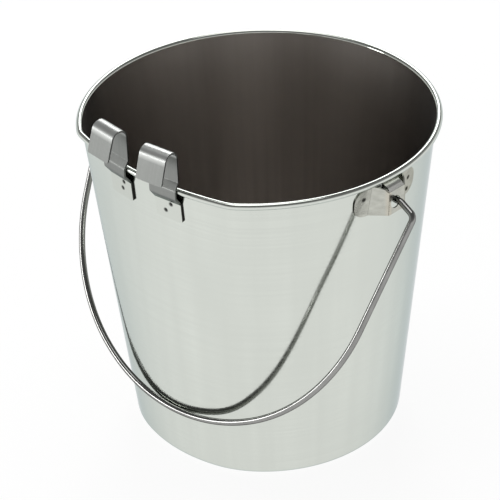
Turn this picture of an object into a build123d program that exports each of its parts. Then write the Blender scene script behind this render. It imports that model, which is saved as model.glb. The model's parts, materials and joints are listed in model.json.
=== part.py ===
from build123d import *

import os
from math import acos, asin, atan2, cos, degrees, hypot, isclose, pi, radians, sin, sqrt, tan

# Hook-on steel pail: a drawn, tapered round pail with one side pressed nearly flat, a rolled rim, two strip
# hooks on the flat side, two stamped ears and a wire bail. Millimetres, +Z up, origin on the floor under the
# pail's axis. The flat side faces -Y and the ears are on the X sides.

# --- pail ---------------------------------------------------------------------------------------------------
HEIGHT = 238.0  # base to the top of the rolled rim
RIM_OUTER_R = 125.0  # outside of the rolled rim, on the round side
BASE_OUTER_R = 96.0  # outside of the wall at the base, on the round side
SHEET = 0.6  # drawn sheet
BEAD_R = 2.25  # outer radius of the rolled rim's section
CURL_SLIT = 0.5  # left open between the curl's end and the wall
FLAT_DEPTH_TOP = 11.9  # how far the flat side is pressed in from the round, at the rim
FLAT_DEPTH_BASE = 2.0  # the same at the base
FLAT_R = 234.0  # radius of the flat side's slight curve, at the rim; it shrinks downwards
FLAT_EDGE_R = 18.0  # radius where the flat side turns into the round, at the rim; it grows downwards
BASE_CORNER_R = 5.0  # outside radius between wall and floor

# --- hooks --------------------------------------------------------------------------------------------------
HOOK_SHEET = 1.2
HOOK_WIDTH = 22.0
HOOK_SPACING = 44.5  # between the two hooks' middles
HOOK_PLATE_DROP = 27.5  # from the rim's top to the plate's lower edge
HOOK_JOGGLE_DROP = 13.0  # from the rim's top to where the strip leaves the wall
HOOK_TURN_DROP = 1.5  # from the rim's top to where the strip turns back over it
HOOK_RISE = 28.5  # from the rim's top to the arch's top
HOOK_NECK_RISE = 4.0  # from the rim's top to where the strip is back over the wall
HOOK_NECK_OFFSET = 0.5  # from the flat side's outer face to the strip's face above the rim
HOOK_TIP_RISE = 8.5  # from the rim's top to the free leg's tip
HOOK_REACH = 17.5  # from the neck's rear face to the free leg's outer face, at its tip
HOOK_FLARE = 18.0  # degrees the free leg opens outwards
HOOK_ARCH_R = 6.2  # outside radius of the arch's bends
HOOK_BEND_R = 2.0  # radius of the bends round the rim
HOOK_RIM_GAP = 0.25  # between the strip and the rolled rim
HOOK_CORNER_R = 1.5  # corners of the plate and of the free leg's tip

# --- ears ---------------------------------------------------------------------------------------------------
EAR_SHEET = 1.0
EAR_LENGTH = 56.0
EAR_HEIGHT = 21.0
EAR_CORNER_R = 9.0
EAR_RIM_GAP = 1.0  # between the ear's upper edge and the underside of the rolled rim
POCKET_DEPTH = 9.2  # from the wall to the pocket's front face, outside
POCKET_FRONT = 16.0  # width of the pocket's front face
POCKET_FOOT = 31.0  # width of the pocket at the wall
POCKET_BEND_R = 2.5  # outside radius of the pocket's bends
POCKET_FOOT_BEND_R = 1.5  # radius of the bends where the pocket rises from the flanges
POCKET_ABOVE = 8.0  # where the front face ends, above the hinge line
TAB_KNEE = (2.0, 11.0)  # the tab's fold: back from the front face, above the hinge line
TAB_TOP = (6.6, 12.8)  # the tab's upper edge: back from the front face, above the hinge line
TAB_WIDTH = 13.4
TAB_BEND_R = 1.4  # outside radius of the tab's folds
EAR_HOLE_D = 9.0
EAR_HOLE_SHIFT = (-1.5, -0.5)  # the hole's middle from the wire's, in Y and Z: the loose wire's play

# --- bail ---------------------------------------------------------------------------------------------------
WIRE_R = 2.25
HINGE_DROP = 18.0  # from the rim's top to the hinge line
HINGE_Y = -3.5  # the hinge line's place in front of the pail's axis
TIP_GAP = 3.0  # from the pocket's front face, inside, to the middle of the turned-over end
TIP_LENGTH = 6.5  # from the hinge line to the end of the wire
TIP_BEND_R = 2.6
KNEE_OUT = 3.3  # from the ear's front face to where the wire starts to slope
KNEE_BEND_R = 8.0
SHOULDER_OUT = 17.0  # from the ear's front face to the shoulder's corner
SHOULDER_DROP = 5.5  # from the hinge line to the shoulder's corner
SHOULDER_BEND_R = 5.0
SIDE_LEAN = 7.8  # degrees the bail's sides close in towards its bottom
BAIL_DEPTH = 200.5  # from the hinge line to the middle of the wire at the bottom
BOTTOM_R = 145.0  # radius of the bail's bottom arc
BOTTOM_HALF_ANGLE = 30.0  # degrees the bottom arc spans to each side
REST_GAP = 0.3  # between the wire and the wall that it leans on
REST_PLACES = 200  # places along half of the wire where that gap is measured

# --- spot welds ---------------------------------------------------------------------------------------------
WELD_R = 3.0  # radius of the electrode's tip
WELD_DEPTH = 0.4
HOOK_WELDS = {"hook_left": [(3.0, 15.5), (1.0, 21.0)], "hook_right": [(2.5, 15.5), (-2.5, 21.5)]}
# each: across from the hook's middle, down from the rim's top
EAR_WELDS = [(-21.0, 3.3), (21.0, 2.5), (20.2, -6.2)]
# each: along Y from the hinge line, up from the middle of the ear's height

# --- derived ------------------------------------------------------------------------------------------------
BEAD_Z = HEIGHT - BEAD_R
WALL_TOP_R = RIM_OUTER_R - 2 * BEAD_R + SHEET
TAPER = (WALL_TOP_R - BASE_OUTER_R) / BEAD_Z
FLAT_BASE_Y = BASE_OUTER_R - FLAT_DEPTH_BASE
FLAT_TOP_Y = WALL_TOP_R - FLAT_DEPTH_TOP
FLAT_TAPER = (FLAT_TOP_Y - FLAT_BASE_Y) / BEAD_Z
FLAT_SHARE = (FLAT_R - FLAT_TOP_Y) / FLAT_DEPTH_TOP
CORNER_SHARE = (WALL_TOP_R - FLAT_EDGE_R) / FLAT_DEPTH_TOP
CORNER_LEAN = acos(1 - (1 + (2 * FLAT_SHARE - 1) / (2 * CORNER_SHARE)) / FLAT_SHARE)
FLAT_LEAN = asin(CORNER_SHARE * sin(CORNER_LEAN) / (FLAT_SHARE + CORNER_SHARE - 1))
# the leans: from -Y to where the round ends, and from -Y to where the flat side's slight curve ends
HINGE_Z = HEIGHT - HINGE_DROP
EAR_MID_Z = BEAD_Z - BEAD_R - EAR_RIM_GAP - EAR_HEIGHT / 2
WALL_X = sqrt((BASE_OUTER_R + TAPER * HINGE_Z) ** 2 - HINGE_Y**2)
FRONT_X = WALL_X + POCKET_DEPTH
BIG = 4 * RIM_OUTER_R
SMALL = 0.001


def round_r(z):
    """Outside radius of the round wall at height z."""
    return BASE_OUTER_R + TAPER * z


def flat_y(z):
    """Distance of the flat wall's outer face in front of the axis at height z."""
    return FLAT_BASE_Y + FLAT_TAPER * z


def flat_middle(z):
    """Middle of the flat side's slight curve behind the axis at height z."""
    return FLAT_SHARE * (round_r(z) - flat_y(z))


def corner(z):
    """Radius and middle of the right-hand corner beside the flat side, at height z.

    Its middle, and that of the flat side's curve, move with the depth of the flat side. So the corner meets
    the round and the flat side along straight lines, and the wall is made of cones, as bent sheet is.
    """
    reach = CORNER_SHARE * (round_r(z) - flat_y(z))
    return round_r(z) - reach, reach * sin(CORNER_LEAN), -reach * cos(CORNER_LEAN)


def outline(z, out):
    """The pail's outline at height z, moved out by out: the round, two corners and the flat side."""
    radius, x, y = corner(z)
    round_radius = round_r(z) + out
    radius += out
    between = (CORNER_LEAN + FLAT_LEAN) / 2
    on_round = (round_radius * sin(CORNER_LEAN), -round_radius * cos(CORNER_LEAN))
    on_corner = (x + radius * sin(between), y - radius * cos(between))
    on_flat = (x + radius * sin(FLAT_LEAN), y - radius * cos(FLAT_LEAN))
    right = [
        ThreePointArc((0, round_radius), (round_radius, 0), on_round),
        ThreePointArc(on_round, on_corner, on_flat),
    ]
    half = Curve() + right
    flat = ThreePointArc(on_flat, (0, -flat_y(z) - out), (-on_flat[0], on_flat[1]))
    return Pos(0, 0, z) * Wire([*half.edges(), flat, *mirror(half, about=Plane.YZ).edges()])


def pail_form(out, floor):
    """The pail's solid form up to the rim, moved out by out, standing at height floor."""
    form = loft([make_face(outline(floor, out)), make_face(outline(BEAD_Z, out))], ruled=True)
    return fillet(form.faces().sort_by(Axis.Z)[0].edges(), BASE_CORNER_R + out)


def curl_section():
    """Section of the rolled rim: the sheet turned over outwards, nearly back to the wall."""
    inner_r = BEAD_R - SHEET
    end = 2 * pi - acos((inner_r - CURL_SLIT) / BEAD_R)
    outside = [(-BEAD_R * cos(angle), BEAD_R * sin(angle)) for angle in (0, end / 2, end)]
    inside = [(-inner_r * cos(angle), inner_r * sin(angle)) for angle in (0, end / 2, end)]
    return make_face(
        [
            ThreePointArc(*outside),
            Line(outside[2], inside[2]),
            ThreePointArc(*inside),
            Line(inside[0], outside[0]),
        ]
    )


def pail_body():
    shell = pail_form(0, 0) - pail_form(-SHEET, SHEET)
    start = Plane(origin=(0, WALL_TOP_R - SHEET + BEAD_R, BEAD_Z), x_dir=(0, 1, 0), z_dir=(1, 0, 0))
    return shell + sweep(start * curl_section(), outline(BEAD_Z, BEAD_R - SHEET))


# --- hooks --------------------------------------------------------------------------------------------------
def hook_strip(face_y):
    """One hook in the middle of the flat side: plate, joggle round the rim, arch and flared free leg.

    face_y gives the wall's outer face behind the plate, at a height.
    """
    neck_y = face_y(BEAD_Z) - HOOK_NECK_OFFSET
    rim_y = face_y(BEAD_Z) + SHEET - 2 * BEAD_R - HOOK_RIM_GAP
    plate_z = HEIGHT - HOOK_PLATE_DROP
    leave_z = HEIGHT - HOOK_JOGGLE_DROP
    arch_z = HEIGHT + HOOK_RISE
    tip_y = neck_y - HOOK_REACH
    tip_z = HEIGHT + HOOK_TIP_RISE
    rear_face = FilletPolyline(
        (face_y(plate_z), plate_z),
        (face_y(leave_z), leave_z),
        (rim_y, BEAD_Z - BEAD_R - HOOK_BEND_R),
        (rim_y, HEIGHT - HOOK_TURN_DROP),
        (neck_y, HEIGHT + HOOK_NECK_RISE),
        (neck_y, arch_z),
        (tip_y + (arch_z - tip_z) * tan(radians(HOOK_FLARE)), arch_z),
        (tip_y, tip_z),
        radius=[HOOK_BEND_R] * 4 + [HOOK_ARCH_R] * 2,
    )
    section = Plane.YZ * make_face(offset(rear_face, HOOK_SHEET, side=Side.LEFT))
    strip = extrude(section, HOOK_WIDTH / 2, both=True)
    corners = [edge for edge in strip.edges() if isclose(edge.length, HOOK_SHEET, abs_tol=SMALL)]
    return fillet(corners, HOOK_CORNER_R)


def weld_mark(foot, normal, sheet):
    """The hollow that a welding electrode leaves in a sheet of that thickness, over the wall's point foot."""
    return Pos(*(foot + normal * (sheet + WELD_R - WELD_DEPTH))) * Sphere(WELD_R)


def hook(name, middle):
    """A hook with its weld marks, turned to its place along the flat side's slight curve."""
    plate_z = HEIGHT - HOOK_PLATE_DROP
    pivot = flat_middle(plate_z)
    lean = asin(middle / (pivot + flat_y(plate_z)))

    def face_y(z):
        return -flat_y(z) - (flat_middle(z) - pivot) * (1 - cos(lean))

    slope = (face_y(plate_z) - face_y(BEAD_Z)) / (BEAD_Z - plate_z)
    normal = Vector(0, -1, -slope).normalized()
    marks = []
    for across, down in HOOK_WELDS[name]:
        z = HEIGHT - down
        marks.append(weld_mark(Vector(across, face_y(z), z), normal, HOOK_SHEET))
    turn = Pos(0, pivot, 0) * Rot(0, 0, degrees(lean)) * Pos(0, -pivot, 0)
    return turn * (hook_strip(face_y) - marks)


# --- ears ---------------------------------------------------------------------------------------------------
def pocket_plan():
    """The pocket's outline seen from above, from behind the wall's face to its front face."""
    back = WALL_X - POCKET_DEPTH
    spread = POCKET_FOOT - POCKET_FRONT / 2
    sides = Polyline(
        (back, HINGE_Y - spread),
        (FRONT_X, HINGE_Y - POCKET_FRONT / 2),
        (FRONT_X, HINGE_Y + POCKET_FRONT / 2),
        (back, HINGE_Y + spread),
        close=True,
    )
    plan = make_face(sides)
    return fillet(plan.vertices().group_by(Axis.X)[-1], POCKET_BEND_R)


def tab_line():
    """The front face's outside and the tab folded back from its top, seen from the side, in X and Z."""
    return FilletPolyline(
        (FRONT_X, HINGE_Z + POCKET_ABOVE / 2),
        (FRONT_X, HINGE_Z + POCKET_ABOVE),
        (FRONT_X - TAB_KNEE[0], HINGE_Z + TAB_KNEE[1]),
        (FRONT_X - TAB_TOP[0], HINGE_Z + TAB_TOP[1]),
        radius=TAB_BEND_R,
    )


def ear_right():
    low = EAR_MID_Z - EAR_HEIGHT / 2
    high = HINGE_Z + TAB_TOP[1]
    plan = pocket_plan()
    side_view = Plane((0, 0, 0), x_dir=(1, 0, 0), z_dir=(0, -1, 0))

    # the pocket is pressed into the whole band below the rim first, and the band is cut to its outline after
    wall = pail_form(0, 0)
    band = Pos(BIG / 2, HINGE_Y, (low + BEAD_Z) / 2) * Box(BIG, 2 * EAR_LENGTH, BEAD_Z - low + EAR_SHEET)
    flanges = ((pail_form(EAR_SHEET, 0) - wall) & band) - extrude(plan, BIG)
    pressed = flanges + ((extrude(plan - offset(plan, -EAR_SHEET), BIG) & band) - wall)
    bends = pressed.edges().filter_by(GeomType.HYPERBOLA)
    feet = [edge for edge in bends if abs((edge @ 0.5).Y - HINGE_Y) < EAR_LENGTH / 2]
    pressed = fillet(feet, POCKET_FOOT_BEND_R)

    line = tab_line()
    corners = Polyline(line @ 1, (WALL_X - BIG, high), (WALL_X - BIG, low), (FRONT_X, low), line @ 0)
    side_limit = extrude(side_view * make_face(line.edges() + corners.edges()), BIG, both=True)
    blank = Plane.YZ * Pos(HINGE_Y, EAR_MID_Z) * RectangleRounded(EAR_LENGTH, EAR_HEIGHT, EAR_CORNER_R)
    sides = (Pos(0, 0, low) * extrude(plan, high - low)) & side_limit
    cut_out = pressed & (extrude(blank, BIG) + sides)

    strip = make_face(offset(line, EAR_SHEET, side=Side.LEFT))
    tab = Pos(0, HINGE_Y, 0) * extrude(side_view * strip, TAB_WIDTH / 2, both=True)
    hole = Pos(FRONT_X, HINGE_Y + EAR_HOLE_SHIFT[0], HINGE_Z + EAR_HOLE_SHIFT[1]) * Rot(0, 90, 0)
    ear = (cut_out & side_limit) + (tab - wall) - hole * Cylinder(EAR_HOLE_D / 2, 2 * POCKET_DEPTH)
    marks = []
    for along, up in EAR_WELDS:
        y = HINGE_Y + along
        z = EAR_MID_Z + up
        foot = Vector(sqrt(round_r(z) ** 2 - y**2), y, z)
        normal = Vector(foot.X / round_r(z), y / round_r(z), -TAPER).normalized()
        marks.append(weld_mark(foot, normal, EAR_SHEET))
    return ear - marks


# --- bail ---------------------------------------------------------------------------------------------------
def bail_half():
    """Half of the bail's middle line, in its own plane: X outwards, Y down from the hinge line."""
    lean = radians(SIDE_LEAN)
    half = radians(BOTTOM_HALF_ANGLE)
    shoulder = (FRONT_X + SHOULDER_OUT, SHOULDER_DROP)
    bottom_middle = BAIL_DEPTH - BOTTOM_R
    spread = sin(half + lean)
    side_r = shoulder[0] * cos(lean) - (bottom_middle - shoulder[1]) * sin(lean) - BOTTOM_R * spread
    side_r /= 1 - spread
    side_middle = ((BOTTOM_R - side_r) * sin(half), bottom_middle + (BOTTOM_R - side_r) * cos(half))

    def on_side(angle):
        return (side_middle[0] + side_r * sin(angle), side_middle[1] + side_r * cos(angle))

    tip_x = FRONT_X - EAR_SHEET - TIP_GAP
    upper = FilletPolyline(
        (tip_x, -TIP_LENGTH),
        (tip_x, 0),
        (FRONT_X + KNEE_OUT, 0),
        shoulder,
        on_side(pi / 2 - lean),
        radius=[TIP_BEND_R, KNEE_BEND_R, SHOULDER_BEND_R],
    )
    side = ThreePointArc(on_side(pi / 2 - lean), on_side((pi / 2 - lean + half) / 2), on_side(half))
    bottom = ThreePointArc(
        on_side(half),
        (BOTTOM_R * sin(half / 2), bottom_middle + BOTTOM_R * cos(half / 2)),
        (0, BAIL_DEPTH),
    )
    return Curve() + [upper, side, bottom]


def from_wall(across, y, z):
    """Distance of a point from the wall's outer face, square to the wall."""
    radius, corner_x, corner_y = corner(z)
    if atan2(across, -y) > CORNER_LEAN:
        level = hypot(across, y) - round_r(z)
    elif atan2(across, flat_middle(z) - y) > FLAT_LEAN:
        level = hypot(across - corner_x, y - corner_y) - radius
    else:
        level = hypot(across, flat_middle(z) - y) - flat_middle(z) - flat_y(z)
    return level / hypot(1, TAPER)


def rest_angle():
    """Degrees from straight down at which the hanging bail's wire comes to rest against the pail's wall."""
    line = bail_half()
    places = [line.position_at(place / REST_PLACES) for place in range(REST_PLACES // 2, REST_PLACES + 1)]
    low_angle = 0.0
    high_angle = 90.0
    while high_angle - low_angle > SMALL:
        angle = radians((low_angle + high_angle) / 2)
        gaps = []
        for point in places:
            y = HINGE_Y - point.Y * sin(angle)
            z = HINGE_Z - point.Y * cos(angle)
            gaps.append(from_wall(point.X, y, z) - WIRE_R)
        if min(gaps) < REST_GAP:
            low_angle = degrees(angle)
        else:
            high_angle = degrees(angle)
    return high_angle


def bail():
    angle = radians(rest_angle())
    plane = Plane((0, HINGE_Y, HINGE_Z), x_dir=(1, 0, 0), z_dir=(0, cos(angle), -sin(angle)))
    half = bail_half()
    path = plane * Wire([*half.edges(), *mirror(half, about=Plane.YZ).edges()])
    start = Plane(path @ 0, z_dir=path % 0)
    return sweep(start * Circle(WIRE_R), path)


os.makedirs("parts", exist_ok=True)
right_ear = ear_right()
parts = {
    "pail_body": pail_body(),
    "hook_left": hook("hook_left", -HOOK_SPACING / 2),
    "hook_right": hook("hook_right", HOOK_SPACING / 2),
    "ear_right": right_ear,
    "ear_left": mirror(right_ear, about=Plane.YZ),
    "bail": bail(),
}
for node, shape in parts.items():
    export_step(shape, f"parts/{node}.step")
    print(node, len(shape.solids()), "solid", round(shape.volume, 1), "mm3", shape.is_valid)
print("bail rests", round(rest_angle(), 2), "degrees from straight down")
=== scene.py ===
import json
from math import acos, asin, cos, pi, radians, sin, tan

import bpy
from bpy.props import FloatProperty, FloatVectorProperty, IntProperty, PointerProperty
from mathutils import Matrix, Vector


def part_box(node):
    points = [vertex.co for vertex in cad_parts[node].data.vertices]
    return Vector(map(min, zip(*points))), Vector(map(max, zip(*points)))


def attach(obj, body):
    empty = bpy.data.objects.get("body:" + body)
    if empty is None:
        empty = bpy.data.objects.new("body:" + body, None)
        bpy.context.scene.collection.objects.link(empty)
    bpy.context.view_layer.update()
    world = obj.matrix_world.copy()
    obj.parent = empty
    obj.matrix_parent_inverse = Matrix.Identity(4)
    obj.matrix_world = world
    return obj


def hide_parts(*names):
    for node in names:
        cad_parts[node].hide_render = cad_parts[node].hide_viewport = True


bl_info = {
    "name": "Hook-on steel pail",
    "version": (1, 0, 0),
    "blender": (4, 5, 0),
    "location": "View3D > Sidebar > Pail",
    "description": "Makes the visible surfaces of a flat-sided steel pail round its packed model",
    "category": "Object",
}

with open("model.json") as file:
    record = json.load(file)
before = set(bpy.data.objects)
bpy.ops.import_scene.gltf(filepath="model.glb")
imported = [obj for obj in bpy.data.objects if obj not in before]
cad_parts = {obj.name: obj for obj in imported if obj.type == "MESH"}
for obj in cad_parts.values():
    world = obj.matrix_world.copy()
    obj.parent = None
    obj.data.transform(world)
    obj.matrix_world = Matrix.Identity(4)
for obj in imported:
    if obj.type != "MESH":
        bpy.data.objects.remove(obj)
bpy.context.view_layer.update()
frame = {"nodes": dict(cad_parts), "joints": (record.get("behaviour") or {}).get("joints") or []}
PAIL_LOW, PAIL_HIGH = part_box("pail_body")
BAIL_LOW, BAIL_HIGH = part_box("bail")
EAR_LOW, EAR_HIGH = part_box("ear_right")
HINGE = Vector(frame["joints"][0]["pos_m"])
MM = 0.001

WALL_AROUND = 0.11  # radius at which a pattern that runs up the wall has its spacing
FLOOR_RINGS = 2.5 * MM  # between the turned rings on the pail's floor
CUT_EDGE = (0.85, 0.95)  # shares of the normal along an axis, between which a face turns into a cut edge
WELD_CORE = 1.0 * MM  # radius of the painted shade in a spot weld's dimple, at full strength
WELD_EDGE = 2.1 * MM  # radius at which the painted shade has faded out
HOOK_WELDS = [
    (-0.0195, -0.1087, 0.2225),
    (-0.0214, -0.1082, 0.217),
    (0.0249, -0.1082, 0.2225),
    (0.0199, -0.1083, 0.2165),
]
EAR_WELDS = [(0.1185, -0.0245, 0.2253), (0.1196, 0.0175, 0.2245), (0.1188, 0.0167, 0.2158)]
EAR_WELDS += [(-x, y, z) for x, y, z in EAR_WELDS]
# Pairs of places between which a look sets in, in metres
UPPER_WALL = (0.08, 0.17)  # heights on the inside between which painted shade sets in, darker above, leaving the lower wall brighter in place of its reflections
FLOOR_LEVELS = (0.003, 0.008)  # heights of the inside floor's edge
HOOK_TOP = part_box("hook_left")[1].z
HOOK_BENDS = (HOOK_TOP - 7 * MM, HOOK_TOP - 3 * MM)  # heights between which the painted highlight on the hooks' top sets in
HOOK_PLATE = (PAIL_HIGH.z - 10 * MM, PAIL_HIGH.z - 12 * MM)  # heights; the strip lies on the wall below
HOOK_PLATE_ROUGHNESS = 0.1
HOOK_CUT_SHARE = 0.4  # share of the painted shade on a cut edge, above the plate
EAR_CREST = (EAR_HIGH.x - 2.5 * MM, EAR_HIGH.x - 0.5 * MM)  # ways out to the pocket's crest
EAR_TINTED = (-4.5 * MM, -6.5 * MM)  # along the wall, from the hinge line
TAB_SIDES = (7.2 * MM, 6.8 * MM)  # along the wall, from the hinge line, either way
TAB_LEVELS = (HINGE.z + 8 * MM, HINGE.z + 9 * MM)

LEAST_STEPS = 4  # faces across the flat side's half, or across its corner
FLAT_STEPS_SHARE = 0.2  # of the faces round half of the pail
CORNER_STEPS_SHARE = 0.1
FLOOR_SHARES = (1.0, 0.75, 0.5, 0.25, 0.1)  # rings of the floor, as shares of the way in to the axis
BASE_STEPS_INSIDE = 8  # faces round the corner between floor and wall
BASE_STEPS_OUTSIDE = 10
CURL_STEPS_INSIDE = 20  # faces round the rolled rim's section
CURL_STEPS_OUTSIDE = 28
MERGE_DISTANCE = 0.001 * MM
SHELL_SHARP = radians(40)

TIP_STEPS = 10  # points round the bends of the bail's wire
KNEE_STEPS = 8
SHOULDER_STEPS = 10
SIDE_STEPS = 40  # points along the bail's side
BOTTOM_STEPS = 24  # points along half of its bottom
WIRE_SIDES = 24
WIRE_SHARP = radians(50)


def linear(hex_colour):
    """An sRGB hex colour as linear red, green, blue and an alpha of 1."""
    channels = [int(hex_colour[place : place + 2], 16) / 255 for place in (0, 2, 4)]
    return (*[c / 12.92 if c <= 0.04045 else ((c + 0.055) / 1.055) ** 2.4 for c in channels], 1.0)


def add(tree, kind, sockets=None, **settings):
    """Adds a node with its settings; sockets gives its inputs as values or as outputs to link from."""
    made = tree.nodes.new(kind)
    for name, value in settings.items():
        setattr(made, name, value)
    for key, value in (sockets or {}).items():
        if isinstance(value, bpy.types.NodeSocket):
            tree.links.new(value, made.inputs[key])
        else:
            made.inputs[key].default_value = value
    return made


# --- sizes and colours --------------------------------------------------------------------------------------
def length(name, description, default):
    """A length that a user can change, in metres."""
    return FloatProperty(
        name=name, description=description, default=default, min=0.0, unit="LENGTH", precision=5
    )


def tint(name, description, hex_colour):
    """A colour that a user can change."""
    return FloatVectorProperty(
        name=name,
        description=description,
        subtype="COLOR",
        size=4,
        min=0.0,
        max=1.0,
        default=linear(hex_colour),
    )


class PailSettings(bpy.types.PropertyGroup):
    rim_radius: length("Rim radius", "Outside of the rolled rim, on the round side", PAIL_HIGH.x)
    height: length("Height", "Floor to the top of the rolled rim", PAIL_HIGH.z)
    base_radius: length("Base radius", "Outside of the wall at the base, on the round side", 96 * MM)
    sheet: length("Sheet", "Thickness of the drawn sheet", 0.6 * MM)
    bead_radius: length("Rim bead radius", "Outer radius of the rolled rim's section", 2.25 * MM)
    curl_slit: length("Curl slit", "Left open between the curl's end and the wall", 0.5 * MM)
    flat_depth_rim: length(
        "Flat depth at the rim", "How far the flat side is pressed in from the round", 11.9 * MM
    )
    flat_depth_base: length(
        "Flat depth at the base", "How far the flat side is pressed in from the round", 2 * MM
    )
    flat_radius: length("Flat side radius", "Radius of the flat side's slight curve, at the rim", 234 * MM)
    flat_corner: length("Flat corner", "Radius where the flat side turns into the round, at the rim", 18 * MM)
    base_corner: length("Base corner", "Outside radius between wall and floor", 5 * MM)
    steps_around: IntProperty(name="Steps around", description="Faces round the pail", default=288, min=48)
    wall_steps: IntProperty(name="Steps up the wall", description="Faces up the wall", default=20, min=1)
    outside: tint("Outside", "Polished outside of the pail", "DADED7")
    inside: tint("Inside", "Drawn inside of the pail, which is left as it came from the press", "E5E0DB")


class BailSettings(bpy.types.PropertyGroup):
    wire_radius: length("Wire radius", "Radius of the bail's wire", 2.25 * MM)
    ear_front: length("Ear front", "Outer face of the ear's pocket, from the pail's axis", EAR_HIGH.x)
    ear_sheet: length("Ear sheet", "Thickness of the ear", 1 * MM)
    tip_gap: length("Tip gap", "From the pocket's inner face to the middle of the turned-over end", 3 * MM)
    tip_length: length("Tip length", "From the hinge line to the end of the wire", 6.5 * MM)
    tip_bend: length("Tip bend", "Radius of the bend at the turned-over end", 2.6 * MM)
    knee_out: length("Knee", "From the ear to where the wire starts to slope", 3.3 * MM)
    knee_bend: length("Knee bend", "Radius of the bend at the knee", 8 * MM)
    shoulder_out: length("Shoulder out", "From the ear to the shoulder's corner", 17 * MM)
    shoulder_drop: length("Shoulder drop", "From the hinge line to the shoulder's corner", 5.5 * MM)
    shoulder_bend: length("Shoulder bend", "Radius of the bend at the shoulder", 5 * MM)
    depth: length("Depth", "From the hinge line to the middle of the wire at the bottom", 200.5 * MM)
    bottom_radius: length("Bottom radius", "Radius of the bail's bottom arc", 145 * MM)
    bottom_half_angle: FloatProperty(
        name="Bottom half angle",
        description="Angle that the bottom arc spans to each side",
        default=radians(30),
        subtype="ANGLE",
    )
    side_lean: FloatProperty(
        name="Side lean",
        description="Angle at which the bail's sides close in towards its bottom",
        default=radians(7.8),
        subtype="ANGLE",
    )
    wire: tint("Wire", "Bright drawn wire of the bail", "9C9C9A")


class HookSettings(bpy.types.PropertyGroup):
    # Painted shade: the strip is given a darker colour than the plate, for its faces that lean out
    strip: tint("Strip", "Satin strip of the hooks", "969895")
    # Painted highlight: the bends at the hooks' top get a lighter colour in place of the light they catch
    crown: tint("Crown", "Bends at the top of the hooks, which tumbling wears brightest", "D6D8D5")
    plate: tint("Plate", "Buffed plate of the hooks, below the joggle", "D2D6CF")
    # Painted shade: cut edges and spot weld dimples get a near-black colour in place of the shade along and
    # in them
    sheared: tint("Sheared edge", "Cut edge and weld marks of the strip", "3A3A38")


class EarSettings(bpy.types.PropertyGroup):
    plate: tint("Plate", "Stamped plate of the ears", "C8C9C0")
    # Painted highlight: the folded tab gets a lighter colour in place of the light it would catch
    fold: tint("Fold", "Folded tab over the pocket, which the press leaves bright", "F2F2ED")
    tint_colour: tint("Heat tint", "Straw-coloured tint on the pocket's crest", "CAC3B3")
    # Painted shade: cut edges and spot weld dimples get a near-black colour in place of the shade along and
    # in them
    sheared: tint("Sheared edge", "Cut edge and weld marks of the plate", "3A3A38")


class StageSettings(bpy.types.PropertyGroup):
    floor: tint("Floor", "Pale floor", "FFFFFF")
    floor_size: length("Floor size", "Side of the floor", 12.0)


# --- metals -------------------------------------------------------------------------------------------------
def empty_tree(owner):
    """Gives a material or a world an empty node tree."""
    owner.use_nodes = True
    owner.node_tree.nodes.clear()
    return owner.node_tree


def new_metal(name, colour, edge):
    """An empty metal with its shader joined to its output; edge is its colour at a glancing angle."""
    material = bpy.data.materials.new(name)
    tree = empty_tree(material)
    sockets = {"Metallic": 1.0, "Base Color": colour, "Specular Tint": edge}
    shader = add(tree, "ShaderNodeBsdfPrincipled", sockets)
    add(tree, "ShaderNodeOutputMaterial", {"Surface": shader.outputs["BSDF"]})
    return material, tree, shader


def surface(tree, shader, tone, rough, bump):
    """Leads a colour, a roughness and a bump into a metal's shader."""
    for name, value in (("Base Color", tone), ("Roughness", rough), ("Normal", bump)):
        tree.links.new(value, shader.inputs[name])


def grain(tree, spacing, detail, around=None):
    """Noise whose lumps have a real spacing in metres along X, Y and Z; gives a value about 0.5.

    With around, a radius, the pattern runs straight up the wall: X and Y come from the direction alone.
    """
    place = add(tree, "ShaderNodeTexCoord").outputs["Object"]
    if around:
        parts = add(tree, "ShaderNodeSeparateXYZ", {0: place}).outputs
        level = add(tree, "ShaderNodeCombineXYZ", {"X": parts["X"], "Y": parts["Y"]}).outputs[0]
        unit = add(tree, "ShaderNodeVectorMath", {0: level}, operation="NORMALIZE").outputs[0]
        wide = add(tree, "ShaderNodeVectorMath", {0: unit, "Scale": around}, operation="SCALE").outputs[0]
        rise = add(tree, "ShaderNodeCombineXYZ", {"Z": parts["Z"]}).outputs[0]
        place = add(tree, "ShaderNodeVectorMath", {0: wide, 1: rise}, operation="ADD").outputs[0]
    scale = [1 / step for step in spacing]
    stretched = add(tree, "ShaderNodeMapping", {"Vector": place, "Scale": scale})
    sockets = {"Vector": stretched.outputs[0], "Scale": 1.0, "Detail": detail}
    return add(tree, "ShaderNodeTexNoise", sockets).outputs[0]


def coordinate(tree, axis):
    """A place's distance from the object's origin along X, Y or Z."""
    place = add(tree, "ShaderNodeTexCoord").outputs["Object"]
    return add(tree, "ShaderNodeSeparateXYZ", {0: place}).outputs[axis]


def facing(tree, axis):
    """1 where the surface faces along an axis of the object, either way, as a cut edge does; else 0."""
    normal = add(tree, "ShaderNodeTexCoord").outputs["Normal"]
    share = add(tree, "ShaderNodeVectorMath", {0: normal, 1: axis}, operation="DOT_PRODUCT").outputs["Value"]
    share = add(tree, "ShaderNodeMath", {0: share}, operation="ABSOLUTE").outputs[0]
    return between_levels(tree, share, CUT_EDGE, (0, 1))


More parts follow.
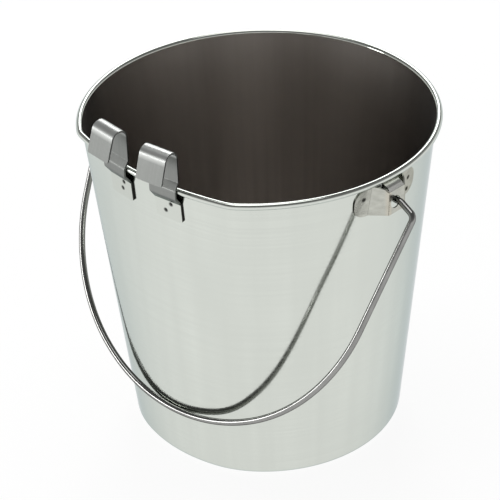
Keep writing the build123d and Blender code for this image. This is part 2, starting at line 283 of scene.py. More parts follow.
def weld_marks(tree, places):
    """Mask of the painted shade in spot weld dimples: 1 in the middle of each spot weld, which are given by
    their places, fading to 0 at its edge.
    """
    place = add(tree, "ShaderNodeTexCoord").outputs["Object"]
    marks = []
    for spot in places:
        away = add(tree, "ShaderNodeVectorMath", {0: place, 1: spot}, operation="DISTANCE").outputs["Value"]
        marks.append(between_levels(tree, away, (WELD_EDGE, WELD_CORE), (0, 1)))
    mark = marks[0]
    for other in marks[1:]:
        mark = add(tree, "ShaderNodeMath", {0: mark, 1: other}, operation="MAXIMUM").outputs[0]
    return mark


def between_levels(tree, value, given, wanted):
    """Turns a value between two given levels into one between two wanted ones."""
    names = ("Value", "From Min", "From Max", "To Min", "To Max")
    return add(tree, "ShaderNodeMapRange", dict(zip(names, (value, *given, *wanted)))).outputs[0]


def between(tree, value, low, high, spread=0.2):
    """Turns a value about 0.5 into one that runs from low to high."""
    return between_levels(tree, value, (0.5 - spread, 0.5 + spread), (low, high))


def blended(tree, share, first, second):
    """Colour between two colours."""
    return add(tree, "ShaderNodeMix", {"Factor": share, 6: first, 7: second}, data_type="RGBA").outputs[2]


def darker(colour, share):
    """The same colour, made darker by a share of its light."""
    return (*[channel * (1 - share) for channel in colour[:3]], 1.0)


def polished_stainless(colour):
    """Drawn 18/8 stainless sheet, buffed to a near mirror.

    The eye sees clean reflections that are slightly soft, with faint lines round the pail from the buffing
    wheel, and broad cloudy bands where the wheel pressed harder. Real lines are 0.1 mm apart, drawn at
    1.4 mm.
    """
    material, tree, shader = new_metal("polished stainless sheet", colour, linear("D3DADC"))
    clouds = grain(tree, (0.045, 0.045, 0.12), 2.0)
    rings = grain(tree, (0.25, 0.25, 0.0014), 4.0)
    upright = grain(tree, (0.012, 0.012, 0.4), 2.0, around=WALL_AROUND)
    tone = blended(tree, between(tree, clouds, 0, 1), darker(colour, 0.08), colour)
    tone = blended(tree, between(tree, upright, 0, 0.6), tone, darker(colour, 0.1))
    tone = blended(tree, between(tree, rings, 0, 0.5), tone, darker(colour, 0.09))
    lined, clouded = between(tree, rings, 0.05, 0.11), between(tree, clouds, 0, 0.05)
    rough = add(tree, "ShaderNodeMath", {0: lined, 1: clouded})
    bump = add(tree, "ShaderNodeBump", {"Height": rings, "Strength": 0.12, "Distance": 0.02 * MM})
    surface(tree, shader, tone, rough.outputs[0], bump.outputs[0])
    return material


def drawn_stainless(colour):
    """The same sheet as it left the draw press, inside the pail.

    The eye sees a dull grey that is slightly brown, with upright streaks from the draw, crossed by faint
    rings from the die, and turned rings on the floor. Real streaks are under 1 mm wide, drawn at 24 mm and
    5 mm, and the rings from the die are drawn at 2 mm.
    """
    material, tree, shader = new_metal("drawn stainless sheet", colour, linear("1E1A18"))
    broad = grain(tree, (0.024, 0.024, 0.9), 2.0, around=WALL_AROUND)
    fine = grain(tree, (0.005, 0.005, 0.3), 2.0, around=WALL_AROUND)
    rings = grain(tree, (0.2, 0.2, 0.002), 4.0)
    tone = blended(tree, between(tree, broad, 0, 1), darker(colour, 0.2), colour)
    tone = blended(tree, between(tree, rings, 0, 0.5), tone, darker(colour, 0.1))
    tone = blended(tree, between(tree, fine, 0, 0.8), tone, darker(colour, 0.3))
    height = coordinate(tree, "Z")
    # Painted shade: the wall is darkened above, so that its lower part reads brighter in place of its
    # reflections
    upper = between_levels(tree, height, UPPER_WALL, (0, 0.8))
    tone = blended(tree, upper, tone, darker(colour, 0.18))
    place = add(tree, "ShaderNodeTexCoord").outputs["Object"]
    away = add(tree, "ShaderNodeVectorMath", {0: place}, operation="LENGTH").outputs["Value"]
    turned = add(tree, "ShaderNodeCombineXYZ", {"X": away}).outputs[0]
    sockets = {"Vector": turned, "Scale": 1 / FLOOR_RINGS, "Detail": 2.0}
    turned = add(tree, "ShaderNodeTexNoise", sockets).outputs[0]
    floor_tone = blended(tree, between(tree, turned, 0, 1), darker(colour, 0.2), colour)
    tone = blended(tree, between_levels(tree, height, FLOOR_LEVELS, (1, 0)), tone, floor_tone)
    rough = between(tree, broad, 0.34, 0.28)
    bump = add(tree, "ShaderNodeBump", {"Height": fine, "Strength": 0.3, "Distance": 0.05 * MM})
    surface(tree, shader, tone, rough, bump.outputs[0])
    return material


def satin_strip(colour, crown, buffed, sheared):
    """Rolled stainless strip, bent and then tumbled with stone.

    The eye sees a soft grey sheen with fine scratches along the strip and small bright and dull spots, a
    painted highlight on the bends at the top, and grey cut edges darkened by painted shade. The strip's own
    colour is painted darker than the plate's, as painted shade on faces that lean out. Below the joggle it
    sees the same buffed face as the pail's wall, because the plate is welded on before the wall is buffed,
    with its cut edges painted dark as the shadow gap beside them, and its spot welds painted dark as the
    shade in their dimples. Real scratches are 0.05 mm wide, drawn at 0.9 mm.
    """
    material, tree, shader = new_metal("satin stainless strip", colour, linear("B9BCBD"))
    along = grain(tree, (0.0009, 0.03, 0.03), 2.0)
    spots = grain(tree, (0.0016, 0.0016, 0.0016), 3.0)
    height = coordinate(tree, "Z")
    bends = between_levels(tree, height, HOOK_BENDS, (0, 1))
    plate = between_levels(tree, height, HOOK_PLATE, (0, 1))
    cut = between_levels(tree, plate, (0, 1), (HOOK_CUT_SHARE, 1))
    cut = add(tree, "ShaderNodeMath", {0: facing(tree, (1, 0, 0)), 1: cut}, operation="MULTIPLY").outputs[0]
    # The strip's colour, darker than the plate's, is painted shade on faces that lean out
    tone = blended(tree, between(tree, along, 0, 1), darker(colour, 0.12), colour)
    tone = blended(tree, between(tree, spots, 0, 0.6), tone, darker(colour, 0.1))
    # Painted highlight on the bends at the top of the hooks
    tone = blended(tree, bends, tone, crown)
    tone = blended(tree, plate, tone, buffed)
    # Painted shade on the cut edges, full along the plate as the shadow gap beside it, lighter above
    tone = blended(tree, cut, tone, sheared)
    # Painted shade in the spot weld dimples
    tone = blended(tree, weld_marks(tree, HOOK_WELDS), tone, sheared)
    scratched, spotted = between(tree, along, 0.33, 0.38), between(tree, spots, 0.0, 0.04)
    rough = add(tree, "ShaderNodeMath", {0: scratched, 1: spotted}).outputs[0]
    sockets = {"Factor": plate, "A": rough, "B": HOOK_PLATE_ROUGHNESS}
    rough = add(tree, "ShaderNodeMix", sockets).outputs[0]
    bump = add(tree, "ShaderNodeBump", {"Height": spots, "Strength": 0.2, "Distance": 0.05 * MM})
    surface(tree, shader, tone, rough, bump.outputs[0])
    return material


def stamped_plate(colour, fold, heat_tint, sheared):
    """Stamped stainless plate, spot welded and pickled.

    The eye sees a pale, slightly warm grey with dull blotches, a folded tab lightened by a painted highlight,
    cut edges and spot weld dimples darkened by painted shade, and straw-coloured heat tint where the
    pocket's crest was worked hardest.
    """
    material, tree, shader = new_metal("stamped stainless plate", colour, linear("B0AEA6"))
    blotches = grain(tree, (0.007, 0.007, 0.004), 4.0)
    along = grain(tree, (0.03, 0.03, 0.0011), 3.0)
    out = add(tree, "ShaderNodeMath", {0: coordinate(tree, "X")}, operation="ABSOLUTE").outputs[0]
    crest = between_levels(tree, out, EAR_CREST, (0, 0.6))
    sockets = {0: coordinate(tree, "Y"), 1: HINGE.y}
    aside = add(tree, "ShaderNodeMath", sockets, operation="SUBTRACT").outputs[0]
    near_side = between_levels(tree, aside, EAR_TINTED, (0, 1))
    crest = add(tree, "ShaderNodeMath", {0: crest, 1: near_side}, operation="MULTIPLY").outputs[0]
    # Share of the painted highlight on the folded tab
    on_tab = add(tree, "ShaderNodeMath", {0: aside}, operation="ABSOLUTE").outputs[0]
    on_tab = between_levels(tree, on_tab, TAB_SIDES, (0, 1))
    above = between_levels(tree, coordinate(tree, "Z"), TAB_LEVELS, (0, 1))
    on_tab = add(tree, "ShaderNodeMath", {0: on_tab, 1: above}, operation="MULTIPLY").outputs[0]
    tone = blended(tree, between(tree, blotches, 0, 1), darker(colour, 0.25), colour)
    tone = blended(tree, between(tree, along, 0, 0.5), tone, darker(colour, 0.15))
    tone = blended(tree, crest, tone, heat_tint)
    # Painted highlight: the folded tab is lightened
    tone = blended(tree, on_tab, tone, fold)
    # Painted shade on the cut edges and in the spot weld dimples
    tone = blended(tree, facing(tree, (0, 1, 0)), tone, sheared)
    tone = blended(tree, weld_marks(tree, EAR_WELDS), tone, sheared)
    blotched, rolled = between(tree, blotches, 0.26, 0.14), between(tree, along, 0.0, 0.05)
    rough = add(tree, "ShaderNodeMath", {0: blotched, 1: rolled})
    bump = add(tree, "ShaderNodeBump", {"Height": blotches, "Strength": 0.3, "Distance": 0.1 * MM})
    surface(tree, shader, tone, rough.outputs[0], bump.outputs[0])
    return material


def bright_wire(colour):
    """Stainless wire, bright drawn through a die.

    The eye sees hard highlights along the wire between dark edges, broken by fine draw lines and by worn
    patches where hands hold it.
    """
    material, tree, shader = new_metal("bright drawn wire", colour, linear("3C3C3C"))
    patches = grain(tree, (0.012, 0.012, 0.012), 3.0)
    fine = grain(tree, (0.0012, 0.0012, 0.0012), 2.0)
    tone = blended(tree, between(tree, patches, 0, 1), darker(colour, 0.18), colour)
    worn, lined = between(tree, patches, 0.16, 0.09), between(tree, fine, -0.02, 0.04)
    rough = add(tree, "ShaderNodeMath", {0: worn, 1: lined})
    bump = add(tree, "ShaderNodeBump", {"Height": fine, "Strength": 0.15, "Distance": 0.02 * MM})
    surface(tree, shader, tone, rough.outputs[0], bump.outputs[0])
    return material


# --- pail wall ----------------------------------------------------------------------------------------------
def arc(middle, radius, start, end, steps):
    """Points of an arc in a plane, from one angle to another, both ends included."""
    angles = [start + (end - start) * step / steps for step in range(steps + 1)]
    return [(middle[0] + radius * cos(angle), middle[1] + radius * sin(angle)) for angle in angles]


def direction(lean):
    """Unit direction at an angle from -Y, seen from above."""
    return Vector((sin(lean), -cos(lean), 0))


def rib_mesh(sizes):
    """One point for each rib of the wall: its foot, with its head and its outward direction as attributes."""
    top_radius = sizes.rim_radius - 2 * sizes.bead_radius + sizes.sheet
    flat_share = (sizes.flat_radius - top_radius + sizes.flat_depth_rim) / sizes.flat_depth_rim
    corner_share = (top_radius - sizes.flat_corner) / sizes.flat_depth_rim
    corner_lean = acos(1 - (1 + (2 * flat_share - 1) / (2 * corner_share)) / flat_share)
    flat_lean = asin(corner_share * sin(corner_lean) / (flat_share + corner_share - 1))
    ends = ((sizes.base_radius, sizes.flat_depth_base), (top_radius, sizes.flat_depth_rim))

    def rib(lean, part):
        outward = direction(lean)
        points = []
        for radius, depth in ends:
            if part == "round":
                points.append(outward * radius)
            elif part == "corner":
                reach = corner_share * depth
                points.append(direction(corner_lean) * reach + outward * (radius - reach))
            else:
                middle = Vector((0, flat_share * depth, 0))
                points.append(middle + outward * (flat_share * depth + radius - depth))
        return (*points, outward)

    steps = sizes.steps_around // 2
    flat_steps = max(LEAST_STEPS, round(steps * FLAT_STEPS_SHARE))
    corner_steps = max(LEAST_STEPS, round(steps * CORNER_STEPS_SHARE))
    round_steps = steps - flat_steps - corner_steps
    right = [rib(pi + (corner_lean - pi) * step / round_steps, "round") for step in range(round_steps + 1)]
    turn = flat_lean - corner_lean
    right += [rib(corner_lean + turn * step / corner_steps, "corner") for step in range(1, corner_steps + 1)]
    right += [rib(flat_lean * (1 - step / flat_steps), "flat") for step in range(1, flat_steps + 1)]
    flip = Vector((-1, 1, 1))
    left = [tuple(v * flip for v in entry) for entry in reversed(right[1:-1])]
    ribs = right + left
    mesh = bpy.data.meshes.new("pail ribs")
    mesh.from_pydata([entry[0] for entry in ribs], [], [])
    for name, place in (("head", 1), ("outward", 2)):
        attribute = mesh.attributes.new(name, "FLOAT_VECTOR", "POINT")
        attribute.data.foreach_set("vector", [value for entry in ribs for value in entry[place]])
    return mesh


def profile_points(sizes):
    """The sheet's section as (out from the wall's outer face, height, share drawn in to the axis)."""
    bead_z = sizes.height - sizes.bead_radius
    inner_bead = sizes.bead_radius - sizes.sheet
    end = 2 * pi - acos((inner_bead - sizes.curl_slit) / sizes.bead_radius)
    bead_middle = (sizes.bead_radius - sizes.sheet, bead_z)
    inner_corner = sizes.base_corner - sizes.sheet
    corner_middle = (-sizes.base_corner, sizes.base_corner)
    inner = arc(corner_middle, inner_corner, -pi / 2, 0, BASE_STEPS_INSIDE)
    outer = arc(corner_middle, sizes.base_corner, 0, -pi / 2, BASE_STEPS_OUTSIDE)
    rise = (bead_z - sizes.base_corner) / sizes.wall_steps
    levels = [sizes.base_corner + rise * step for step in range(1, sizes.wall_steps)]
    curl_out = arc(bead_middle, sizes.bead_radius, pi, pi - end, CURL_STEPS_OUTSIDE)
    curl_in = arc(bead_middle, inner_bead, pi - end, pi, CURL_STEPS_INSIDE)
    section = [(*inner[0], share) for share in FLOOR_SHARES]
    section += [(*point, 0.0) for point in inner]
    section += [(-sizes.sheet, level, 0.0) for level in levels]
    section += [(*point, 0.0) for point in curl_out + curl_in]
    section += [(0.0, level, 0.0) for level in reversed(levels)]
    section += [(*point, 0.0) for point in outer]
    section += [(*outer[-1], share) for share in reversed(FLOOR_SHARES)]
    inside_rows = len(FLOOR_SHARES) + len(inner) + len(levels)
    return section, inside_rows


def new_object(name, data):
    """An object in the scene that holds a mesh, a light or a camera."""
    made = bpy.data.objects.new(name, data)
    bpy.context.scene.collection.objects.link(made)
    return made


def geometry_tree(name, inputs):
    """An empty geometry tree with its inputs, given as each one's name and kind, and its output."""
    tree = bpy.data.node_groups.new(name, "GeometryNodeTree")
    for label, kind in inputs.items():
        tree.interface.new_socket(label, in_out="INPUT", socket_type="NodeSocket" + kind)
    tree.interface.new_socket("Geometry", in_out="OUTPUT", socket_type="NodeSocketGeometry")
    return tree


def shell_tree():
    """Node tree that bends a grid into the pail's sheet: ribs give the way round, the section the way up."""
    inputs = {
        "Ribs": "Object",
        "Section": "Object",
        "Rib count": "Int",
        "Section count": "Int",
        "Bead height": "Float",
        "Inside rows": "Int",
        "Outside material": "Material",
        "Inside material": "Material",
    }
    tree = geometry_tree("pail shell", inputs)
    given = add(tree, "NodeGroupInput").outputs
    ribs = add(tree, "GeometryNodeObjectInfo", {"Object": given["Ribs"]}).outputs["Geometry"]
    section = add(tree, "GeometryNodeObjectInfo", {"Object": given["Section"]}).outputs["Geometry"]
    columns = add(tree, "ShaderNodeMath", {0: given["Rib count"], 1: 1.0}, operation="ADD").outputs[0]
    grid = add(tree, "GeometryNodeMeshGrid", {"Vertices X": columns, "Vertices Y": given["Section count"]})
    place = add(tree, "GeometryNodeInputPosition").outputs[0]
    split = add(tree, "ShaderNodeSeparateXYZ", {0: place}).outputs
    across = add(tree, "ShaderNodeMath", {0: split["X"], 1: 0.5}, operation="ADD").outputs[0]
    up = add(tree, "ShaderNodeMath", {0: split["Y"], 1: 0.5}, operation="ADD").outputs[0]
    column = add(tree, "ShaderNodeMath", {0: across, 1: given["Rib count"]}, operation="MULTIPLY").outputs[0]
    column = add(tree, "ShaderNodeMath", {0: column}, operation="ROUND").outputs[0]
    column = add(tree, "ShaderNodeMath", {0: column, 1: given["Rib count"]}, operation="MODULO").outputs[0]
    rows = add(tree, "ShaderNodeMath", {0: given["Section count"], 1: 1.0}, operation="SUBTRACT").outputs[0]
    height = add(tree, "ShaderNodeMath", {0: up, 1: rows}, operation="MULTIPLY").outputs[0]
    row = add(tree, "ShaderNodeMath", {0: height}, operation="ROUND").outputs[0]
    sockets = {0: height, 1: given["Inside rows"]}
    inner = add(tree, "ShaderNodeMath", sockets, operation="LESS_THAN").outputs[0]
    marked = add(
        tree,
        "GeometryNodeStoreNamedAttribute",
        {"Geometry": grid.outputs["Mesh"], "Name": "inside", "Value": inner},
        data_type="BOOLEAN",
        domain="FACE",
    )
    head_name = add(tree, "GeometryNodeInputNamedAttribute", {"Name": "head"}, data_type="FLOAT_VECTOR")
    outward_name = add(tree, "GeometryNodeInputNamedAttribute", {"Name": "outward"}, data_type="FLOAT_VECTOR")
    sampled = {}
    for name, geometry, value, index in (
        ("foot", ribs, place, column),
        ("head", ribs, head_name.outputs["Attribute"], column),
        ("outward", ribs, outward_name.outputs["Attribute"], column),
        ("section", section, place, row),
    ):
        sockets = {"Geometry": geometry, "Index": index}
        picker = add(tree, "GeometryNodeSampleIndex", sockets, data_type="FLOAT_VECTOR")
        tree.links.new(value, picker.inputs["Value"])
        sampled[name] = picker.outputs["Value"]
    at = add(tree, "ShaderNodeSeparateXYZ", {0: sampled["section"]}).outputs
    sockets = {0: at["Z"], 1: given["Bead height"]}
    rise = add(tree, "ShaderNodeMath", sockets, operation="DIVIDE", use_clamp=True)
    wall = add(
        tree,
        "ShaderNodeMix",
        {"Factor": rise.outputs[0], 4: sampled["foot"], 5: sampled["head"]},
        data_type="VECTOR",
    ).outputs[1]
    step_out = add(tree, "ShaderNodeVectorMath", {0: sampled["outward"], "Scale": at["X"]}, operation="SCALE")
    wall = add(tree, "ShaderNodeVectorMath", {0: wall, 1: step_out.outputs[0]}, operation="ADD").outputs[0]
    kept = add(tree, "ShaderNodeMath", {0: 1.0, 1: at["Y"]}, operation="SUBTRACT").outputs[0]
    wall = add(tree, "ShaderNodeVectorMath", {0: wall, "Scale": kept}, operation="SCALE").outputs[0]
    lift = add(tree, "ShaderNodeCombineXYZ", {"Z": at["Z"]}).outputs[0]
    wall = add(tree, "ShaderNodeVectorMath", {0: wall, 1: lift}, operation="ADD").outputs[0]
    bent = add(tree, "GeometryNodeSetPosition", {"Geometry": marked.outputs[0], "Position": wall}).outputs[0]
    merged = add(tree, "GeometryNodeMergeByDistance", {"Geometry": bent, "Distance": MERGE_DISTANCE})
    smooth = add(tree, "GeometryNodeSetShadeSmooth", {"Geometry": merged.outputs[0]})
    real = add(tree, "GeometryNodeRealizeInstances", {"Geometry": smooth.outputs[0]})
    sockets = {"Geometry": real.outputs[0], "Material": given["Outside material"]}
    outer = add(tree, "GeometryNodeSetMaterial", sockets)
    inside = add(tree, "GeometryNodeInputNamedAttribute", {"Name": "inside"}, data_type="BOOLEAN")
    sockets = {
        "Geometry": outer.outputs[0],
        "Selection": inside.outputs["Attribute"],
        "Material": given["Inside material"],
    }
    both = add(tree, "GeometryNodeSetMaterial", sockets)
    add(tree, "NodeGroupOutput", {"Geometry": both.outputs[0]})
    return tree


def grown(name, tree, inputs):
    """Runs a node tree on an empty mesh and returns the result as a plain mesh object."""
    holder = new_object(name + " holder", bpy.data.meshes.new(name + " holder"))
    modifier = holder.modifiers.new("tree", "NODES")
    modifier.node_group = tree
    for socket in tree.interface.items_tree:
        if socket.in_out == "INPUT" and socket.name in inputs:
            modifier[socket.identifier] = inputs[socket.name]
    graph = bpy.context.evaluated_depsgraph_get()
    mesh = bpy.data.meshes.new_from_object(holder.evaluated_get(graph), depsgraph=graph)
    bpy.data.objects.remove(holder)
    mesh.name = name
    return new_object(name, mesh)


def drop(*objects):
    """Removes the objects that only fed a node tree."""
    for thing in objects:
        bpy.data.objects.remove(thing)


class PAIL_OT_shell(bpy.types.Operator):
    """Make the drawn sheet of the pail, from its floor to its rolled rim"""

    bl_idname = "pail.shell"
    bl_label = "Pail shell"

    def execute(self, context):
        sizes = context.scene.pail_sizes
        section, inside_rows = profile_points(sizes)
        ribs = rib_mesh(sizes)
        section_mesh = bpy.data.meshes.new("pail section")
        section_mesh.from_pydata([(out, share, height) for out, height, share in section], [], [])
        rib_points = new_object("pail ribs", ribs)
        section_points = new_object("pail section", section_mesh)
        shell = grown(
            "pail_shell",
            shell_tree(),
            {
                "Ribs": rib_points,
                "Section": section_points,
                "Rib count": len(ribs.vertices),
                "Section count": len(section),
                "Bead height": sizes.height - sizes.bead_radius,
                "Inside rows": inside_rows,
                "Outside material": polished_stainless(sizes.outside),
                "Inside material": drawn_stainless(sizes.inside),
            },
        )
        drop(rib_points, section_points)
        shell.data.set_sharp_from_angle(angle=SHELL_SHARP)
        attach(shell, "pail")
        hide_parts("pail_body")
        return {"FINISHED"}


# --- bail ---------------------------------------------------------------------------------------------------
def bend(before, corner, after, radius, steps):
    """Points of the arc that rounds a corner between two straight runs."""
    back = (before - corner).normalized()
    ahead = (after - corner).normalized()
    half = back.angle(ahead) / 2
    middle = corner + (back + ahead).normalized() * (radius / sin(half))
    start = corner + back * (radius / tan(half)) - middle
    end = corner + ahead * (radius / tan(half)) - middle
    sweep = start.angle(end)
    side = (end - start * cos(sweep)) / sin(sweep)
    angles = [sweep * step / steps for step in range(steps + 1)]
    return [middle + start * cos(angle) + side * sin(angle) for angle in angles]


def bail_half(sizes):
    """Right half of the wire's middle line, from the tip: X outwards, Y down from the hinge line."""
    half = sizes.bottom_half_angle
    lean = sizes.side_lean
    radius = sizes.bottom_radius
    tip_x = sizes.ear_front - sizes.ear_sheet - sizes.tip_gap
    shoulder = Vector((sizes.ear_front + sizes.shoulder_out, sizes.shoulder_drop))
    bottom_middle = sizes.depth - radius
    spread = sin(half + lean)
    side_radius = shoulder.x * cos(lean) - (bottom_middle - shoulder.y) * sin(lean) - radius * spread
    side_radius /= 1 - spread
    gap = radius - side_radius
    side_middle = Vector((gap * sin(half), bottom_middle + gap * cos(half)))
    side = []
    for step in range(SIDE_STEPS + 1):
        angle = pi / 2 - lean + (half - pi / 2 + lean) * step / SIDE_STEPS
        side.append(side_middle + side_radius * Vector((sin(angle), cos(angle))))
    bottom = []
    for step in range(1, BOTTOM_STEPS + 1):
        angle = half * (1 - step / BOTTOM_STEPS)
        bottom.append(Vector((radius * sin(angle), bottom_middle + radius * cos(angle))))
    tip = Vector((tip_x, -sizes.tip_length))
    turn = Vector((tip_x, 0))
    knee = Vector((sizes.ear_front + sizes.knee_out, 0))
    line = [tip]
    line += bend(tip, turn, knee, sizes.tip_bend, TIP_STEPS)
    line += bend(turn, knee, shoulder, sizes.knee_bend, KNEE_STEPS)
    line += bend(knee, shoulder, side[0], sizes.shoulder_bend, SHOULDER_STEPS)
    return line + side + bottom


def wire_tree():
    """Node tree that draws a round wire along a line of points."""
    inputs = {"Line": "Object", "Wire radius": "Float", "Sides": "Int", "Material": "Material"}
    tree = geometry_tree("bail wire", inputs)
    given = add(tree, "NodeGroupInput").outputs
    line = add(tree, "GeometryNodeObjectInfo", {"Object": given["Line"]}).outputs["Geometry"]
    curve = add(tree, "GeometryNodeMeshToCurve", {"Mesh": line}).outputs[0]
    sockets = {"Resolution": given["Sides"], "Radius": given["Wire radius"]}
    ring = add(tree, "GeometryNodeCurvePrimitiveCircle", sockets)
    sockets = {"Curve": curve, "Profile Curve": ring.outputs[0], "Fill Caps": True}
    tube = add(tree, "GeometryNodeCurveToMesh", sockets)
    smooth = add(tree, "GeometryNodeSetShadeSmooth", {"Geometry": tube.outputs[0]})
    real = add(tree, "GeometryNodeRealizeInstances", {"Geometry": smooth.outputs[0]})
    done = add(tree, "GeometryNodeSetMaterial", {"Geometry": real.outputs[0], "Material": given["Material"]})
    add(tree, "NodeGroupOutput", {"Geometry": done.outputs[0]})
    return tree


class PAIL_OT_bail(bpy.types.Operator):
    """Make the bail's wire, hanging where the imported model's bail rests"""

    bl_idname = "pail.bail"
    bl_label = "Bail"

    def execute(self, context):
        sizes = context.scene.bail_sizes
        angle = acos((HINGE.z - sizes.wire_radius - BAIL_LOW.z) / sizes.depth)
        half = bail_half(sizes)
        flat = half + [Vector((-point.x, point.y)) for point in reversed(half[:-1])]
        places = [(p.x, HINGE.y - p.y * sin(angle), HINGE.z - p.y * cos(angle)) for p in flat]
        line_mesh = bpy.data.meshes.new("bail line")
        line_mesh.from_pydata(places, [(n, n + 1) for n in range(len(places) - 1)], [])
        line = new_object("bail line", line_mesh)
        wire = grown(
            "bail_wire",
            wire_tree(),
            {
                "Line": line,
                "Wire radius": sizes.wire_radius,
                "Sides": WIRE_SIDES,
                "Material": bright_wire(sizes.wire),
            },
        )
        drop(line)
        wire.data.set_sharp_from_angle(angle=WIRE_SHARP)
        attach(wire, "bail")
        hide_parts("bail")
        return {"FINISHED"}


# --- hooks and ears -----------------------------------------------------------------------------------------
def finish(names, material):
    """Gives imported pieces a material."""
    for name in names:
        frame["nodes"][name].material_slots[0].material = material


class PAIL_OT_hooks(bpy.types.Operator):
    """Finish the two hooks"""

    bl_idname = "pail.hooks"
    bl_label = "Hooks"

    def execute(self, context):
        colours = context.scene.hook_finish
        strip = satin_strip(colours.strip, colours.crown, colours.plate, colours.sheared)
        finish(("hook_left", "hook_right"), strip)
        return {"FINISHED"}


class PAIL_OT_ears(bpy.types.Operator):
    """Finish the two ears"""

    bl_idname = "pail.ears"
    bl_label = "Ears"

    def execute(self, context):
        colours = context.scene.ear_finish
        plate = stamped_plate(colours.plate, colours.fold, colours.tint_colour, colours.sheared)
        finish(("ear_left", "ear_right"), plate)
        return {"FINISHED"}


# --- stage --------------------------------------------------------------------------------------------------
CAMERA_AZIMUTH = radians(45.36)
CAMERA_ELEVATION = radians(33.07)
CAMERA_DISTANCE = 1.6442
CAMERA_TARGET = Vector((0, 0, 0.1))
CAMERA_LENS = 165.9  # mm
CAMERA_SENSOR = 36  # mm
CAMERA_PAN = 0.01064  # the aim's shift to the left of the target
CAMERA_TILT = 0.02166  # the aim's shift above the target
CAMERA_ROLL = radians(-2.0)
FLOOR_GLOW = 0.9  # of white, where the floor is seen or mirrored
FLOOR_GREY = 0.18  # of the light that falls on the floor
SKY_LOW = (0.1, 1.0)  # height of a direction, and the grey of the sky there
SKY_MIDDLE = (0.26, 0.36)
SKY_HIGH = (0.7, 0.16)
LAMPS = (  # place, size and power
    ("softbox above", (-0.25, 0.05, 2.3), 1.3, 10),
    ("softbox behind", (-1.2, 1.3, 1.3), 0.8, 8),
    ("softbox low in front", (-1.31, -1.71, 0.54), 0.45, 5),
)


def grey(level):
    """A grey as a colour."""
    return (level, level, level, 1.0)


def make_camera():
    """A long lens that looks down on the flat side from the right."""
    back = Vector(
        (
            sin(CAMERA_AZIMUTH) * cos(CAMERA_ELEVATION),
            -cos(CAMERA_AZIMUTH) * cos(CAMERA_ELEVATION),
            sin(CAMERA_ELEVATION),
        )
    )
    right = Vector((cos(CAMERA_AZIMUTH), sin(CAMERA_AZIMUTH), 0))
    up = back.cross(right)
    turned_right = right * cos(CAMERA_ROLL) + up * sin(CAMERA_ROLL)
    turned_up = up * cos(CAMERA_ROLL) - right * sin(CAMERA_ROLL)
    place = CAMERA_TARGET + back * CAMERA_DISTANCE
    aim = CAMERA_TARGET - turned_right * CAMERA_PAN + turned_up * CAMERA_TILT
    back = (place - aim).normalized()
    turned_right = turned_up.cross(back).normalized()
    turned_up = back.cross(turned_right)
    lens = bpy.data.cameras.new("camera")
    lens.lens = CAMERA_LENS
    lens.sensor_width = CAMERA_SENSOR
    camera = new_object("camera", lens)
    turn = Matrix((turned_right, turned_up, back)).transposed().to_4x4()
    camera.matrix_world = Matrix.Translation(place) @ turn
    bpy.context.scene.camera = camera


def make_floor(settings):
    """A floor that looks white to the camera and in the metal, and takes a soft shadow."""
    mesh = bpy.data.meshes.new("floor")
    half = settings.floor_size / 2
    corners = [(-half, -half, 0), (half, -half, 0), (half, half, 0), (-half, half, 0)]
    mesh.from_pydata(corners, [], [(0, 1, 2, 3)])
    floor = new_object("floor", mesh)
    material = bpy.data.materials.new("pale floor")
    tree = empty_tree(material)
    path = add(tree, "ShaderNodeLightPath").outputs
    seen = path["Is Camera Ray"]
    for ray in ("Is Glossy Ray", "Is Transmission Ray"):
        seen = add(tree, "ShaderNodeMath", {0: seen, 1: path[ray]}, operation="MAXIMUM").outputs[0]
    strength = add(tree, "ShaderNodeMath", {0: seen, 1: FLOOR_GLOW}, operation="MULTIPLY").outputs[0]
    glow = add(tree, "ShaderNodeEmission", {"Color": settings.floor, "Strength": strength})
    matt = add(tree, "ShaderNodeBsdfDiffuse", {"Color": grey(FLOOR_GREY)})
    both = add(tree, "ShaderNodeAddShader", {0: glow.outputs[0], 1: matt.outputs[0]})
    add(tree, "ShaderNodeOutputMaterial", {"Surface": both.outputs[0]})
    mesh.materials.append(material)


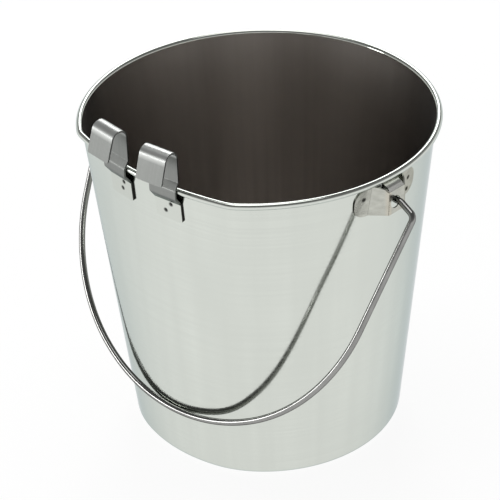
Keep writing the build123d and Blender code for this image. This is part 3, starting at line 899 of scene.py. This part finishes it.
def make_world():
    """A studio sky, white at the horizon and below, and darker upwards."""
    world = bpy.data.worlds.new("studio")
    bpy.context.scene.world = world
    tree = empty_tree(world)
    coordinates = add(tree, "ShaderNodeTexCoord").outputs["Generated"]
    height = add(tree, "ShaderNodeSeparateXYZ", {0: coordinates}).outputs["Z"]
    ramp = add(tree, "ShaderNodeValToRGB", {"Fac": height})
    stops = ramp.color_ramp.elements
    stops[0].position = SKY_LOW[0]
    stops[0].color = grey(SKY_LOW[1])
    stops[1].position = SKY_HIGH[0]
    stops[1].color = grey(SKY_HIGH[1])
    middle = stops.new(SKY_MIDDLE[0])
    middle.color = grey(SKY_MIDDLE[1])
    shade = add(tree, "ShaderNodeBackground", {"Color": ramp.outputs[0], "Strength": 1.0})
    add(tree, "ShaderNodeOutputWorld", {"Surface": shade.outputs[0]})


def make_lamp(name, place, size, power):
    """A square softbox that points at the pail."""
    light = bpy.data.lights.new(name, "AREA")
    light.shape = "SQUARE"
    light.size = size
    light.energy = power
    lamp = new_object(name, light)
    lamp.location = place
    lamp.rotation_mode = "QUATERNION"
    lamp.rotation_quaternion = (Vector(place) - CAMERA_TARGET).to_track_quat("Z", "Y")
    lamp.visible_camera = False


class PAIL_OT_stage(bpy.types.Operator):
    """Make the floor, the studio light and the camera"""

    bl_idname = "pail.stage"
    bl_label = "Stage"

    def execute(self, context):
        make_floor(context.scene.pail_stage)
        make_world()
        for lamp in LAMPS:
            make_lamp(*lamp)
        make_camera()
        context.scene.view_settings.view_transform = "Standard"
        return {"FINISHED"}


class PAIL_PT_sidebar(bpy.types.Panel):
    bl_label = "Pail"
    bl_space_type = "VIEW_3D"
    bl_region_type = "UI"
    bl_category = "Pail"

    def draw(self, context):
        for operator in OPERATORS:
            self.layout.operator(operator.bl_idname)


GROUPS = {
    "pail_sizes": PailSettings,
    "bail_sizes": BailSettings,
    "hook_finish": HookSettings,
    "ear_finish": EarSettings,
    "pail_stage": StageSettings,
}
OPERATORS = (PAIL_OT_stage, PAIL_OT_shell, PAIL_OT_bail, PAIL_OT_hooks, PAIL_OT_ears)


def register():
    for name, group in GROUPS.items():
        bpy.utils.register_class(group)
        setattr(bpy.types.Scene, name, PointerProperty(type=group))
    for operator in OPERATORS:
        bpy.utils.register_class(operator)
    bpy.utils.register_class(PAIL_PT_sidebar)


def unregister():
    bpy.utils.unregister_class(PAIL_PT_sidebar)
    for operator in reversed(OPERATORS):
        bpy.utils.unregister_class(operator)
    for name, group in reversed(GROUPS.items()):
        delattr(bpy.types.Scene, name)
        bpy.utils.unregister_class(group)


def main():
    register()
    bpy.ops.pail.stage()
    bpy.ops.pail.shell()
    bpy.ops.pail.bail()
    bpy.ops.pail.hooks()
    bpy.ops.pail.ears()


if __name__ == "__main__":
    main()
